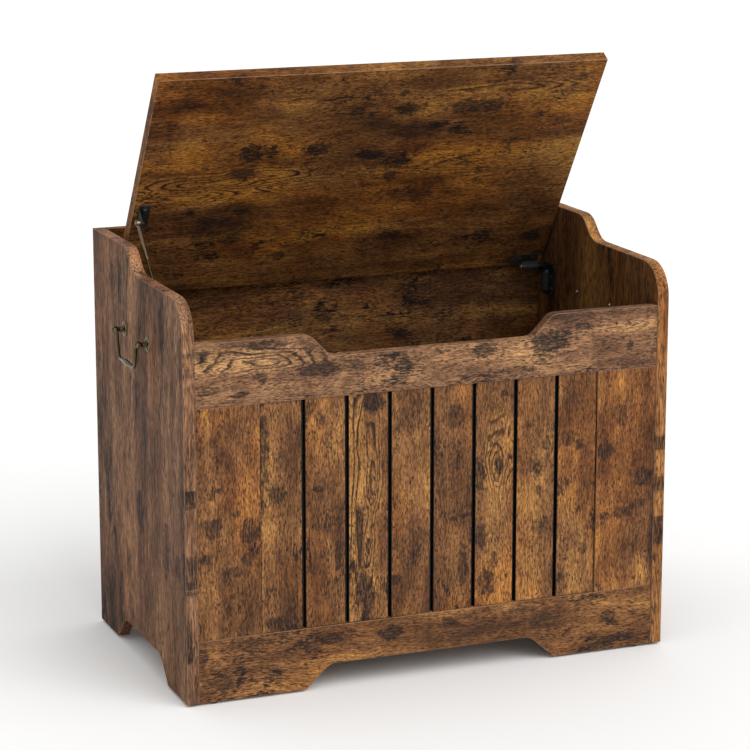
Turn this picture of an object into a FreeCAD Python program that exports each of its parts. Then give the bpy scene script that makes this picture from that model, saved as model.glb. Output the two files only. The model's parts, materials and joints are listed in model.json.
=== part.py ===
"""Wooden toy box with a hinged lid, shown with the lid propped open.

Millimetres. X runs along the front, to the right. Y runs from the front to the back. Z is up.
The origin is on the floor, in the middle of the footprint.
"""
import FreeCAD
import Part
import math
import os

V = FreeCAD.Vector
X_AXIS = V(1, 0, 0)
Y_AXIS = V(0, 1, 0)
Z_AXIS = V(0, 0, 1)

# Driving dimensions
WIDTH = 760.0
DEPTH = 430.0
BOARD = 18.0
BACK_BOARD = 15.0
GLIDE = 3.0
GLIDE_TURNING = [(0, 6.4), (1.0, 7.4), (3.0, 7.4)]
FRONT_GLIDE_INSET = 42.0
BACK_GLIDE_INSET = 45.0
BACK_HEIGHT = 622.0
ARM_HEIGHT = 587.0
EASED_EDGE = 0.8

# Side panels
ARM_CORNER_RADIUS = 50.0
SWEEP_START = 222.0
SWEEP_END = 258.0
SWEEP_RADIUS = 40.0
SIDE_FOOT = 90.0
SIDE_ARCH_RISE = 38.0
SIDE_ARCH_RADIUS = 25.0

# Front
FRONT_RECESS = 1.0
RAIL_BOTTOM = 434.0
RAIL_TOP = 527.0
DIP_DEPTH = 33.0
DIP_TOP_HALF = 190.0
DIP_FLOOR_HALF = 158.0
DIP_RADIUS = 20.0
KICK_TOP = 93.0
KICK_ARCH_RISE = 35.0
KICK_FOOT_HALF = 199.0
KICK_ARCH_HALF = 160.0
KICK_ARCH_RADIUS = 25.0
STILE = 96.0
PLANKS = 8
PLANK_GAP = 5.0
PLANK_END_GAP = 1.0
PLANK_RECESS = 3.0
PLANK_THICKNESS = 9.0

# Floor of the box
CLEAT = 18.0
CLEAT_HEIGHT = 42.0
CLEAT_SCREW_SHARES = (-0.3, 0.3)
FLOOR_BOARD = 15.0

# Lid and its hinges
LID_OPEN = 57.0
LID_THICKNESS = 18.0
LID_SIDE_GAP = 7.0
LID_LIP = 32.0
LID_REST_GAP = 0.5
HINGE_FROM_BACK_BOARD = 29.0
HINGE_BELOW_LID = 8.0
LID_BEHIND_HINGE = 2.0
PIN_RADIUS = 2.5
PIN_BUTTON = [(0, 4.2), (1.2, 4.2), (2.2, 3.0)]
PIN_END_PLAY = 0.4
RUNNING_GAP = 0.06
BARREL_RADIUS = 5.5
BARREL_LENGTH = 28.0
LEAF_THICKNESS = 1.8
LEAF_DEPTH = 20.0
LEAF_REAR = 1.5
LEAF_WIDTH = 46.0
LEAF_TAPER = 10.0
LEAF_SCREW_INSETS = (10.0, 32.0)
LEAF_SCREW_FORWARD = 13.0
HOUSING_THICKNESS = 14.0
HOUSING_FORWARD = 37.0
HOUSING_REAR = 4.5
HOUSING_RISE = 5.5
HOUSING_DROP = 45.0
HOUSING_PLATE = 4.0
HOUSING_CLEARANCE = 1.5
HOUSING_BOSS_RADIUS = 4.4
HOUSING_ARM_DROP = 14.0
HOUSING_SCREW_DROPS = (14.0, 34.0)
HOUSING_SCREW_FORWARD = 29.0
DAMPER_RADIUS = 9.0
DAMPER_FORWARD = 14.0
DAMPER_FROM_PANEL = 6.0
DAMPER_LIFT = 3.0
DAMPER_TURNING = [(0, 5.0), (2.5, 8.0), (4.5, 9.0), (34.0, 9.0), (38.0, 6.0)]

# Lid stay on the left
STAY_FROM_HINGE = 159.0
STAY_BELOW_LID = 14.0
STAY_PLATE_WIDTH = 17.0
STAY_PLATE_LENGTH = 42.0
STAY_PLATE_THICKNESS = 2.0
STAY_SCREW_SPACING = 26.0
EAR_HALF_FOOT = 13.0
EAR_HALF_END = 6.0
ROD_LENGTH = 185.0
ROD_ANGLE = 47.36
ROD_RADIUS = 2.0
SLEEVE_RADIUS = 2.7
SLEEVE_START = 3.5
SLEEVE_END = 62.0
SLEEVE_TAPER = 2.5
EYE_RADIUS = 5.0
EYE_THICKNESS = 5.4
EYE_GAP = 0.3
FOOT_RADIUS = 4.6
FOOT_THICKNESS = 4.4
RIVET_RADIUS = 2.0
RIVET_HEAD = [(0, 3.6), (0.8, 3.4), (1.6, 1.8)]
SLIDE_PIN_RADIUS = 3.0
SLIDE_PIN_TIP_GAP = 1.2
SLIDE_PIN_TAIL = 3.0
STAY_FROM_PANEL = 16.5
TRACK_SCREW_SINK = 2.4
TRACK_RECESS_RADIUS = 3.5
TRACK_HEIGHT = 22.0
TRACK_THICKNESS = 9.0
TRACK_SLOT = 10.0
TRACK_SLOT_DEPTH = 7.0
TRACK_FRONT = 20.0
TRACK_REAR = 199.0
TRACK_END = 16.0
TRACK_CORNER_RADIUS = 8.0
TRACK_MIDDLE = 517.7

# Handles
HANDLE_HEIGHT = 497.0
POST_HALF_SPACING = 56.5
POST_REACH = 15.0
BALL_RADIUS = 5.5
BAIL_RADIUS = 2.4
BAIL_DROP = 38.0
BAIL_TOP_HALF = 48.0
BAIL_FLOOR_HALF = 38.5
GRIP_HALF = 26.0
GRIP_TURNING = [(0, 2.2), (9.0, 3.1), (21.0, 4.2), (31.0, 4.2), (43.0, 3.1), (52.0, 2.2)]
BAIL_END = 1.5
BAIL_KNUCKLE_RADIUS = 5.0
BAIL_BEND_RADIUS = 10.0
STEM_TURNING = [(0, 11.0), (1.2, 11.0), (2.0, 10.0), (3.2, 6.2), (5.0, 4.2), (8.0, 3.4), (15.0, 3.4)]

# Fasteners
DOWEL_RADIUS = 4.0
DOWEL_LENGTH = 30.0
DOWEL_IN_SIDE = 11.0
DOWEL_FROM_EDGE = 22.0
STILE_DOWEL_INSET = 24.0
BACK_DOWEL_HEIGHTS = (110.0, 330.0, 562.0)
BITE = 11.0
HARDWARE_SCREW = (1.75, 3.2, 1.8)
CLEAT_SCREW = (1.75, 3.5, 2.2)
HANDLE_SCREW = (2.0, 4.5, 2.4)
HANDLE_SCREW_BITE = 7.0
HOUSING_SCREW_LENGTH = 14.0

# Places worked out from the driving dimensions
FRONT = -DEPTH / 2
BACK = DEPTH / 2
LEFT = -WIDTH / 2
RIGHT = WIDTH / 2
INNER_LEFT = LEFT + BOARD
INNER_RIGHT = RIGHT - BOARD
INNER_WIDTH = WIDTH - 2 * BOARD
BOTTOM = GLIDE
BACK_FACE = BACK - BACK_BOARD
FRAME_FACE = FRONT + FRONT_RECESS
FRAME_REAR = FRAME_FACE + BOARD
PLANK_FACE = FRAME_FACE + PLANK_RECESS
BACKING_FACE = PLANK_FACE + PLANK_THICKNESS
LID_UNDERSIDE = BOTTOM + RAIL_TOP + LID_REST_GAP
HINGE_Y = BACK_FACE - HINGE_FROM_BACK_BOARD
HINGE_Z = LID_UNDERSIDE - HINGE_BELOW_LID
LID_REAR = HINGE_Y + LID_BEHIND_HINGE
LID_FRONT = FRONT - LID_LIP
LID_HALF_WIDTH = WIDTH / 2 - BOARD - LID_SIDE_GAP
FLOOR_UNDERSIDE = BOTTOM + CLEAT_HEIGHT + CLEAT
TRACK_SLOT_FLOOR = INNER_LEFT + TRACK_THICKNESS - TRACK_SLOT_DEPTH

SIDES = {"left": -1, "right": 1}

nodes = {}


def arc_through_corner(before, corner, after, radius):
    """Start, middle and end of the arc that rounds one corner."""
    to_before = (before - corner).normalize()
    to_after = (after - corner).normalize()
    half_angle = to_before.getAngle(to_after) / 2
    bisector = (to_before + to_after).normalize()
    reach = radius / math.tan(half_angle)
    centre = corner + bisector * (radius / math.sin(half_angle))
    return corner + to_before * reach, centre - bisector * radius, corner + to_after * reach


def rounded_path(corners, closed=True):
    """Wire through (point, radius) corners, each rounded by its own radius."""
    count = len(corners)
    turns = []
    for i, (corner, radius) in enumerate(corners):
        if radius:
            before = corners[i - 1][0]
            after = corners[(i + 1) % count][0]
            turns.append(arc_through_corner(before, corner, after, radius))
        else:
            turns.append((corner, None, corner))
    edges = []
    for i, (start, middle, finish) in enumerate(turns):
        if middle is not None:
            edges.append(Part.Arc(start, middle, finish).toShape())
        if closed or i < count - 1:
            edges.append(Part.makeLine(finish, turns[(i + 1) % count][0]))
    return Part.Wire(edges)


def board_from_outline(corners, thickness):
    """Flat board: the closed outline pushed along the thickness vector, with eased edges."""
    solid = Part.Face(rounded_path(corners)).extrude(thickness)
    return solid.makeChamfer(EASED_EDGE, solid.Edges)


def block(low, high):
    """Box between two opposite corners."""
    size = V(*high) - V(*low)
    return Part.makeBox(size.x, size.y, size.z, V(*low))


def eased_board(low, high):
    solid = block(low, high)
    return solid.makeChamfer(EASED_EDGE, solid.Edges)


def rod(start, direction, length, radius):
    return Part.makeCylinder(radius, length, start, direction)


def turned(profile, base, axis):
    """Solid of revolution: (distance along the axis, radius) points turned about X, then aimed."""
    points = [V(along, 0, radius) for along, radius in profile]
    points = [V(profile[0][0], 0, 0)] + points + [V(profile[-1][0], 0, 0)]
    points.append(points[0])
    solid = Part.Face(Part.makePolygon(points)).revolve(V(0, 0, 0), X_AXIS, 360)
    solid.Placement = FreeCAD.Placement(base, FreeCAD.Rotation(X_AXIS, axis))
    return solid


def screw(tip, outward, length, kind):
    """Pan-head screw of a kind: shank radius, head radius and head height. Its head lies past the shank."""
    radius, head_radius, head_height = kind
    shank = rod(tip, outward, length, radius)
    seat = tip + outward * length
    profile = [(0, head_radius), (head_height * 0.4, head_radius), (head_height, head_radius * 0.55)]
    head = turned(profile, seat, outward)
    drive = rod(seat + outward * (head_height / 2), outward, head_height, head_radius / 4)
    return shank.fuse(head).removeSplitter().cut(drive)


def lid_opened(shape):
    """Turn a piece made with the lid shut to where it is with the lid open."""
    turned_shape = shape.copy()
    turned_shape.rotate(V(0, HINGE_Y, HINGE_Z), X_AXIS, -LID_OPEN)
    return turned_shape


def dowel_places(side):
    """Ends of the round dowels that join one side panel to the rails and the back board."""
    face = side * (WIDTH / 2 - BOARD)
    rail_middle = FRAME_FACE + BOARD / 2
    back_middle = BACK - BACK_BOARD / 2
    rail_heights = [
        DOWEL_FROM_EDGE,
        KICK_TOP - DOWEL_FROM_EDGE,
        RAIL_BOTTOM + DOWEL_FROM_EDGE,
        RAIL_TOP - DOWEL_FROM_EDGE,
    ]
    places = [(rail_middle, BOTTOM + height) for height in rail_heights]
    places += [(back_middle, BOTTOM + height) for height in BACK_DOWEL_HEIGHTS]
    return [V(face + side * DOWEL_IN_SIDE, y, z) for y, z in places]


def side_dowels(side):
    return [rod(end, V(-side, 0, 0), DOWEL_LENGTH, DOWEL_RADIUS) for end in dowel_places(side)]


def stile_dowels():
    """Upright dowels that join each front stile to the two rails."""
    middle = FRAME_FACE + BOARD / 2
    half = DOWEL_LENGTH / 2
    pegs = []
    for side in SIDES.values():
        for inset in (BOARD + STILE_DOWEL_INSET, BOARD + STILE - STILE_DOWEL_INSET):
            for height in (KICK_TOP, RAIL_BOTTOM):
                base = V(side * (WIDTH / 2 - inset), middle, BOTTOM + height - half)
                pegs.append(rod(base, Z_AXIS, DOWEL_LENGTH, DOWEL_RADIUS))
    return pegs


def handle_screws(side):
    """Machine screws driven from inside the box into the handle posts."""
    inner_face = side * (WIDTH / 2 - BOARD)
    screws = []
    for along in (-1, 1):
        tip = V(side * (WIDTH / 2 + HANDLE_SCREW_BITE), along * POST_HALF_SPACING, BOTTOM + HANDLE_HEIGHT)
        screws.append(screw(tip, V(-side, 0, 0), abs(tip.x - inner_face), HANDLE_SCREW))
    return screws


def housing_screws(side):
    """Two screws that hold a hinge housing to the side panel."""
    screws = []
    tip_x = side * (WIDTH / 2 - BOARD - HOUSING_PLATE + HOUSING_SCREW_LENGTH)
    for drop in HOUSING_SCREW_DROPS:
        tip = V(tip_x, HINGE_Y - HOUSING_SCREW_FORWARD, HINGE_Z - drop)
        screws.append(screw(tip, V(-side, 0, 0), HOUSING_SCREW_LENGTH, HARDWARE_SCREW))
    return screws


def leaf_screws(side):
    """Two screws that hold a hinge leaf under the lid, made with the lid shut."""
    _, barrel_outer, _ = hinge_ends(side)
    screws = []
    for inset in LEAF_SCREW_INSETS:
        tip = V(barrel_outer - side * inset, HINGE_Y - LEAF_SCREW_FORWARD, LID_UNDERSIDE + BITE)
        screws.append(screw(tip, V(0, 0, -1), BITE + LEAF_THICKNESS, HARDWARE_SCREW))
    return screws


def cut_all(solid, tools):
    """Cut every tool out of a solid."""
    for tool in tools:
        solid = solid.cut(tool)
    return solid


def side_panel(side):
    """Side panel: swept arm on top, arch between the feet at the bottom."""
    outer = side * WIDTH / 2
    rear = DEPTH - SIDE_FOOT
    outline = [
        (0, 0, 0),
        (0, ARM_HEIGHT, ARM_CORNER_RADIUS),
        (SWEEP_START, ARM_HEIGHT, SWEEP_RADIUS),
        (SWEEP_END, BACK_HEIGHT, SWEEP_RADIUS),
        (DEPTH, BACK_HEIGHT, 0),
        (DEPTH, 0, 0),
        (rear, 0, 0),
        (rear - SIDE_ARCH_RISE, SIDE_ARCH_RISE, SIDE_ARCH_RADIUS),
        (SIDE_FOOT + SIDE_ARCH_RISE, SIDE_ARCH_RISE, SIDE_ARCH_RADIUS),
        (SIDE_FOOT, 0, 0),
    ]
    corners = [(V(outer, FRONT + y, BOTTOM + z), radius) for y, z, radius in outline]
    return board_from_outline(corners, V(-side * BOARD, 0, 0))


def front_rail(outline):
    corners = [(V(x, FRAME_FACE, BOTTOM + z), radius) for x, z, radius in outline]
    return board_from_outline(corners, V(0, BOARD, 0))


def make_case():
    """Sides, back, floor and front of the box."""
    pegs = stile_dowels()
    for name, side in SIDES.items():
        tools = side_dowels(side) + handle_screws(side) + housing_screws(side) + cleat_screws(name)
        if name == "left":
            tools += track_screws()
        nodes["side_panel_" + name] = cut_all(side_panel(side), tools)
        nodes["dowels_" + name] = Part.makeCompound(side_dowels(side))
        nodes["handle_screws_" + name] = Part.makeCompound(handle_screws(side))
        nodes["hinge_housing_screws_" + name] = Part.makeCompound(housing_screws(side))
    nodes["front_frame_dowels"] = Part.makeCompound(pegs)

    both_sides = side_dowels(-1) + side_dowels(1)
    back = eased_board(
        (INNER_LEFT, BACK_FACE, BOTTOM + CLEAT_HEIGHT), (INNER_RIGHT, BACK, BOTTOM + BACK_HEIGHT))
    nodes["back_panel"] = cut_all(back, both_sides + cleat_screws("back"))

    half = INNER_WIDTH / 2
    top_rail = front_rail([
        (-half, RAIL_BOTTOM, 0),
        (-half, RAIL_TOP, 0),
        (-DIP_TOP_HALF, RAIL_TOP, DIP_RADIUS),
        (-DIP_FLOOR_HALF, RAIL_TOP - DIP_DEPTH, DIP_RADIUS),
        (DIP_FLOOR_HALF, RAIL_TOP - DIP_DEPTH, DIP_RADIUS),
        (DIP_TOP_HALF, RAIL_TOP, DIP_RADIUS),
        (half, RAIL_TOP, 0),
        (half, RAIL_BOTTOM, 0),
    ])
    bottom_rail = front_rail([
        (-half, 0, 0),
        (-half, KICK_TOP, 0),
        (half, KICK_TOP, 0),
        (half, 0, 0),
        (KICK_FOOT_HALF, 0, 0),
        (KICK_ARCH_HALF, KICK_ARCH_RISE, KICK_ARCH_RADIUS),
        (-KICK_ARCH_HALF, KICK_ARCH_RISE, KICK_ARCH_RADIUS),
        (-KICK_FOOT_HALF, 0, 0),
    ])
    nodes["front_top_rail"] = cut_all(top_rail, both_sides + pegs)
    nodes["front_bottom_rail"] = cut_all(bottom_rail, both_sides + pegs + cleat_screws("front"))

    for name, side in SIDES.items():
        edges = sorted((side * half, side * (half - STILE)))
        low = (edges[0], FRAME_FACE, BOTTOM + KICK_TOP)
        high = (edges[1], FRAME_REAR, BOTTOM + RAIL_BOTTOM)
        nodes["front_stile_" + name] = cut_all(eased_board(low, high), pegs)

    panel_half = half - STILE
    pitch = 2 * panel_half / PLANKS
    for i in range(PLANKS):
        left = -panel_half + i * pitch + (PLANK_GAP / 2 if i else PLANK_END_GAP)
        right = -panel_half + (i + 1) * pitch - (PLANK_GAP / 2 if i < PLANKS - 1 else PLANK_END_GAP)
        low = (left, PLANK_FACE, BOTTOM + KICK_TOP)
        high = (right, BACKING_FACE, BOTTOM + RAIL_BOTTOM)
        nodes["front_plank_%d" % (i + 1)] = eased_board(low, high)
    nodes["front_backing_board"] = block(
        (-panel_half, BACKING_FACE, BOTTOM + KICK_TOP), (panel_half, FRAME_REAR, BOTTOM + RAIL_BOTTOM))

    nodes["bottom_panel"] = eased_board(
        (INNER_LEFT, FRAME_REAR, FLOOR_UNDERSIDE), (INNER_RIGHT, BACK_FACE, FLOOR_UNDERSIDE + FLOOR_BOARD))


def cleat_box(name):
    """Lowest and highest corners of one cleat under the floor of the box."""
    low_z = BOTTOM + CLEAT_HEIGHT
    high_z = FLOOR_UNDERSIDE
    if name == "left":
        return (INNER_LEFT, FRAME_REAR, low_z), (INNER_LEFT + CLEAT, BACK_FACE, high_z)
    if name == "right":
        return (INNER_RIGHT - CLEAT, FRAME_REAR, low_z), (INNER_RIGHT, BACK_FACE, high_z)
    inner = INNER_WIDTH / 2 - CLEAT
    if name == "front":
        return (-inner, FRAME_REAR, low_z), (inner, FRAME_REAR + CLEAT, high_z)
    return (-inner, BACK_FACE - CLEAT, low_z), (inner, BACK_FACE, high_z)


def cleat_screws(name):
    """Two screws through a cleat into the board that it lies against."""
    outward = {"left": V(1, 0, 0), "right": V(-1, 0, 0), "front": V(0, 1, 0), "back": V(0, -1, 0)}[name]
    low, high = (V(*corner) for corner in cleat_box(name))
    middle = (low + high) * 0.5
    length = CLEAT + BITE
    screws = []
    for along in CLEAT_SCREW_SHARES:
        spot = V(middle)
        if name in ("left", "right"):
            spot.y += along * (high.y - low.y)
        else:
            spot.x += along * (high.x - low.x)
        seat = spot + outward * (CLEAT / 2)
        screws.append(screw(seat - outward * length, outward, length, CLEAT_SCREW))
    return screws


def make_cleats():
    every_screw = []
    for name in ("left", "right", "front", "back"):
        screws = cleat_screws(name)
        nodes["bottom_cleat_" + name] = cut_all(block(*cleat_box(name)), screws)
        every_screw += screws
    nodes["bottom_cleat_screws"] = Part.makeCompound(every_screw)


def make_glides():
    """Round glides: two under the front rail and two under the back feet."""
    places = {
        "front_left": (LEFT + FRONT_GLIDE_INSET, FRAME_FACE + BOARD / 2),
        "front_right": (RIGHT - FRONT_GLIDE_INSET, FRAME_FACE + BOARD / 2),
        "back_left": (LEFT + BOARD / 2, BACK - BACK_GLIDE_INSET),
        "back_right": (RIGHT - BOARD / 2, BACK - BACK_GLIDE_INSET),
    }
    for name, (x, y) in places.items():
        nodes["foot_glide_" + name] = turned(GLIDE_TURNING, V(x, y, 0), Z_AXIS)


def make_hinges():
    """Two hinges, each a leaf under the lid, a pin, and a housing on the side panel."""
    for name, side in SIDES.items():
        nodes["hinge_leaf_" + name] = lid_opened(hinge_leaf(side))
        nodes["hinge_leaf_screws_" + name] = lid_opened(Part.makeCompound(leaf_screws(side)))
        nodes["hinge_pin_" + name] = hinge_pin(side)
        nodes["hinge_housing_" + name] = hinge_housing(side)


def hinge_ends(side):
    """Where the housing's face and the barrel's two ends are along X."""
    face = WIDTH / 2 - BOARD - HOUSING_THICKNESS
    barrel_outer = face - HOUSING_CLEARANCE
    return side * face, side * barrel_outer, side * (barrel_outer - BARREL_LENGTH)


def hinge_leaf(side):
    """Tapered plate under the lid with a barrel that turns on the pin."""
    _, barrel_outer, barrel_inner = hinge_ends(side)
    tip = barrel_outer - side * LEAF_WIDTH
    plate_low = LID_UNDERSIDE - LEAF_THICKNESS
    front_edge = HINGE_Y - LEAF_DEPTH
    rear_edge = HINGE_Y + LEAF_REAR
    corners = [
        (V(barrel_outer, rear_edge, plate_low), 0),
        (V(barrel_outer, front_edge, plate_low), 3),
        (V(tip + side * LEAF_TAPER, front_edge, plate_low), 6),
        (V(tip, front_edge + LEAF_TAPER, plate_low), 4),
        (V(tip, rear_edge, plate_low), 3),
    ]
    plate = Part.Face(rounded_path(corners)).extrude(V(0, 0, LEAF_THICKNESS))
    low_x, high_x = sorted((barrel_outer, barrel_inner))
    barrel = rod(V(low_x, HINGE_Y, HINGE_Z), X_AXIS, high_x - low_x, BARREL_RADIUS)
    web = block((low_x, HINGE_Y - BARREL_RADIUS, HINGE_Z), (high_x, rear_edge, plate_low))
    bore = rod(V(low_x, HINGE_Y, HINGE_Z), X_AXIS, high_x - low_x, PIN_RADIUS + RUNNING_GAP)
    leaf = plate.fuse([barrel, web]).removeSplitter().cut(bore)
    return cut_all(leaf, leaf_screws(side))


def hinge_pin(side):
    """Pin fixed in the housing, with a button end past the barrel."""
    _, _, barrel_inner = hinge_ends(side)
    root = side * (WIDTH / 2 - BOARD - HOUSING_PLATE / 2)
    start = V(barrel_inner - side * PIN_END_PLAY, HINGE_Y, HINGE_Z)
    outward = V(side, 0, 0)
    shank = rod(start, outward, abs(root - start.x), PIN_RADIUS)
    button = turned(PIN_BUTTON, start, V(-side, 0, 0))
    return shank.fuse(button).removeSplitter()


def hinge_housing(side):
    """Housing on the side panel: a back plate with an upright damper tube on its face."""
    panel = side * (WIDTH / 2 - BOARD)
    inward = V(-side, 0, 0)
    front_edge = HINGE_Y - HOUSING_FORWARD
    rear_edge = HINGE_Y + HOUSING_REAR
    low = HINGE_Z - HOUSING_DROP
    high = HINGE_Z + HOUSING_RISE
    corners = [
        (V(panel, rear_edge, high), 4),
        (V(panel, rear_edge, low), 14),
        (V(panel, front_edge, low), 14),
        (V(panel, front_edge, high), 6),
    ]
    plate = Part.Face(rounded_path(corners)).extrude(inward * HOUSING_PLATE)
    tube_y = HINGE_Y - DAMPER_FORWARD
    tube_base = V(panel - side * DAMPER_FROM_PANEL, tube_y, low + DAMPER_LIFT)
    tube = turned(DAMPER_TURNING, tube_base, Z_AXIS)
    boss = rod(V(panel, HINGE_Y, HINGE_Z), inward, HOUSING_THICKNESS, HOUSING_BOSS_RADIUS)
    arm_front = tube_y - HOUSING_BOSS_RADIUS
    arm_rear = HINGE_Y + HOUSING_BOSS_RADIUS
    arm_corners = [
        (V(panel, arm_rear, HINGE_Z), 0),
        (V(panel, arm_rear, HINGE_Z - HOUSING_ARM_DROP), 3),
        (V(panel, arm_front, HINGE_Z - HOUSING_ARM_DROP), 3),
        (V(panel, arm_front, HINGE_Z), 0),
    ]
    arm = Part.Face(rounded_path(arm_corners)).extrude(inward * (HOUSING_THICKNESS - 2))
    solid = plate.fuse([tube, boss, arm]).removeSplitter()
    inside = sorted((panel, panel - side * 2 * HOUSING_THICKNESS))
    solid = solid.common(block((inside[0], FRONT, 0), (inside[1], BACK, high)))
    return cut_all(solid, [hinge_pin(side)] + housing_screws(side))


def make_lid():
    lid = eased_board(
        (-LID_HALF_WIDTH, LID_FRONT, LID_UNDERSIDE),
        (LID_HALF_WIDTH, LID_REAR, LID_UNDERSIDE + LID_THICKNESS))
    lid = cut_all(lid, leaf_screws(-1) + leaf_screws(1) + stay_plate_screws())
    nodes["lid_panel"] = lid_opened(lid)


def stay_pivot_shut():
    """Where the stay's rivet is with the lid shut."""
    return V(INNER_LEFT + STAY_FROM_PANEL, HINGE_Y - STAY_FROM_HINGE, LID_UNDERSIDE - STAY_BELOW_LID)


def stay_plate_screws():
    """Two screws that hold the stay's bracket under the lid, made with the lid shut."""
    pivot = stay_pivot_shut()
    screws = []
    for along in (-STAY_SCREW_SPACING / 2, STAY_SCREW_SPACING / 2):
        tip = V(pivot.x + STAY_PLATE_WIDTH / 2, pivot.y + along, LID_UNDERSIDE + BITE)
        screws.append(screw(tip, V(0, 0, -1), BITE + STAY_PLATE_THICKNESS, HARDWARE_SCREW))
    return screws


def stay_bracket():
    """Plate under the lid with an ear that holds the rivet, made with the lid shut."""
    pivot = stay_pivot_shut()
    plate_low = LID_UNDERSIDE - STAY_PLATE_THICKNESS
    half = STAY_PLATE_LENGTH / 2
    ear_face = pivot.x - STAY_PLATE_THICKNESS / 2
    plate_end = ear_face + STAY_PLATE_WIDTH
    plate_corners = [
        (V(ear_face, pivot.y - half, plate_low), 0),
        (V(plate_end, pivot.y - half, plate_low), 3),
        (V(plate_end, pivot.y + half, plate_low), 3),
        (V(ear_face, pivot.y + half, plate_low), 0),
    ]
    plate = Part.Face(rounded_path(plate_corners)).extrude(V(0, 0, STAY_PLATE_THICKNESS))
    ear_low = pivot.z - EYE_RADIUS - 1
    ear_corners = [
        (V(ear_face, pivot.y - EAR_HALF_FOOT, LID_UNDERSIDE), 0),
        (V(ear_face, pivot.y - EAR_HALF_END, ear_low), 5),
        (V(ear_face, pivot.y + EAR_HALF_END, ear_low), 5),
        (V(ear_face, pivot.y + EAR_HALF_FOOT, LID_UNDERSIDE), 0),
    ]
    ear = Part.Face(rounded_path(ear_corners)).extrude(V(STAY_PLATE_THICKNESS, 0, 0))
    return cut_all(plate.fuse(ear).removeSplitter(), [stay_rivet()] + stay_plate_screws())


def eye_outer():
    """Where the outer face of the rod's eye is along X."""
    return stay_pivot_shut().x - STAY_PLATE_THICKNESS / 2 - EYE_GAP - EYE_THICKNESS


def stay_rivet():
    """Rivet through the rod's eye and the bracket's ear, made with the lid shut."""
    pivot = stay_pivot_shut()
    start = V(eye_outer() - EYE_GAP, pivot.y, pivot.z)
    length = pivot.x + STAY_PLATE_THICKNESS / 2 - start.x
    heads = [turned(RIVET_HEAD, start, V(-1, 0, 0)), turned(RIVET_HEAD, start + X_AXIS * length, X_AXIS)]
    return rod(start, X_AXIS, length, RIVET_RADIUS).fuse(heads).removeSplitter()


def make_stay():
    """Lid stay: bracket under the lid, rod, and the track that the rod's end slides along."""
    nodes["stay_bracket"] = lid_opened(stay_bracket())
    nodes["stay_rivet"] = lid_opened(stay_rivet())
    nodes["stay_bracket_screws"] = lid_opened(Part.makeCompound(stay_plate_screws()))

    pivot = lid_opened(Part.Vertex(stay_pivot_shut())).Point
    eye_centre = V(eye_outer() + EYE_THICKNESS / 2, pivot.y, pivot.z)
    angle = math.radians(ROD_ANGLE)
    down = V(0, -math.cos(angle), -math.sin(angle))
    eye_start = eye_centre - X_AXIS * (EYE_THICKNESS / 2)
    eye = rod(eye_start, X_AXIS, EYE_THICKNESS, EYE_RADIUS)
    bore = rod(eye_start, X_AXIS, EYE_THICKNESS, RIVET_RADIUS + RUNNING_GAP)
    profile = [
        (0, ROD_RADIUS),
        (SLEEVE_START, ROD_RADIUS),
        (SLEEVE_START + SLEEVE_TAPER, SLEEVE_RADIUS),
        (SLEEVE_END, SLEEVE_RADIUS),
        (SLEEVE_END + SLEEVE_TAPER, ROD_RADIUS),
        (ROD_LENGTH, ROD_RADIUS),
    ]
    shaft = turned(profile, eye_centre, down)
    rod_end = eye_centre + down * ROD_LENGTH
    foot = rod(rod_end - X_AXIS * (FOOT_THICKNESS / 2), X_AXIS, FOOT_THICKNESS, FOOT_RADIUS)
    slide_start = V(TRACK_SLOT_FLOOR + SLIDE_PIN_TIP_GAP, rod_end.y, rod_end.z)
    slide_length = rod_end.x + SLIDE_PIN_TAIL - slide_start.x
    slide_pin = rod(slide_start, X_AXIS, slide_length, SLIDE_PIN_RADIUS)
    nodes["stay_rod"] = shaft.fuse([eye, foot]).removeSplitter().cut(bore).cut(slide_pin)
    nodes["stay_slide_pin"] = slide_pin
    nodes["stay_track"] = stay_track()
    nodes["stay_track_screws"] = Part.makeCompound(track_screws())


def track_outline(x, front, rear, half_height, radius):
    """Upright round-cornered outline beside the left side panel."""
    corners = [
        (V(x, front, TRACK_MIDDLE - half_height), radius),
        (V(x, front, TRACK_MIDDLE + half_height), radius),
        (V(x, rear, TRACK_MIDDLE + half_height), radius),
        (V(x, rear, TRACK_MIDDLE - half_height), radius),
    ]
    return Part.Face(rounded_path(corners))


def stay_track():
    """Bar on the left side panel with a long slot that the slide pin runs in."""
    front = FRONT + TRACK_FRONT
    rear = FRONT + TRACK_REAR
    bar = track_outline(INNER_LEFT, front, rear, TRACK_HEIGHT / 2, TRACK_CORNER_RADIUS)
    bar = bar.extrude(V(TRACK_THICKNESS, 0, 0))
    half_slot = TRACK_SLOT / 2
    slot = track_outline(TRACK_SLOT_FLOOR, front + TRACK_END, rear - TRACK_END, half_slot, half_slot * 0.98)
    slot = slot.extrude(V(TRACK_SLOT_DEPTH, 0, 0))
    recess_floor = INNER_LEFT + TRACK_THICKNESS - TRACK_SCREW_SINK
    recesses = [
        rod(V(recess_floor, y, TRACK_MIDDLE), X_AXIS, TRACK_SCREW_SINK, TRACK_RECESS_RADIUS)
        for y in track_screw_places()
    ]
    return cut_all(bar, [slot] + recesses + track_screws())


def track_screw_places():
    return FRONT + TRACK_FRONT + TRACK_END / 2, FRONT + TRACK_REAR - TRACK_END / 2


def track_screws():
    """Screws that hold the track to the left side panel, one past each end of the slot."""
    screws = []
    for y in track_screw_places():
        tip = V(INNER_LEFT - BITE, y, TRACK_MIDDLE)
        screws.append(screw(tip, X_AXIS, BITE + TRACK_THICKNESS - TRACK_SCREW_SINK, HARDWARE_SCREW))
    return screws


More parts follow.
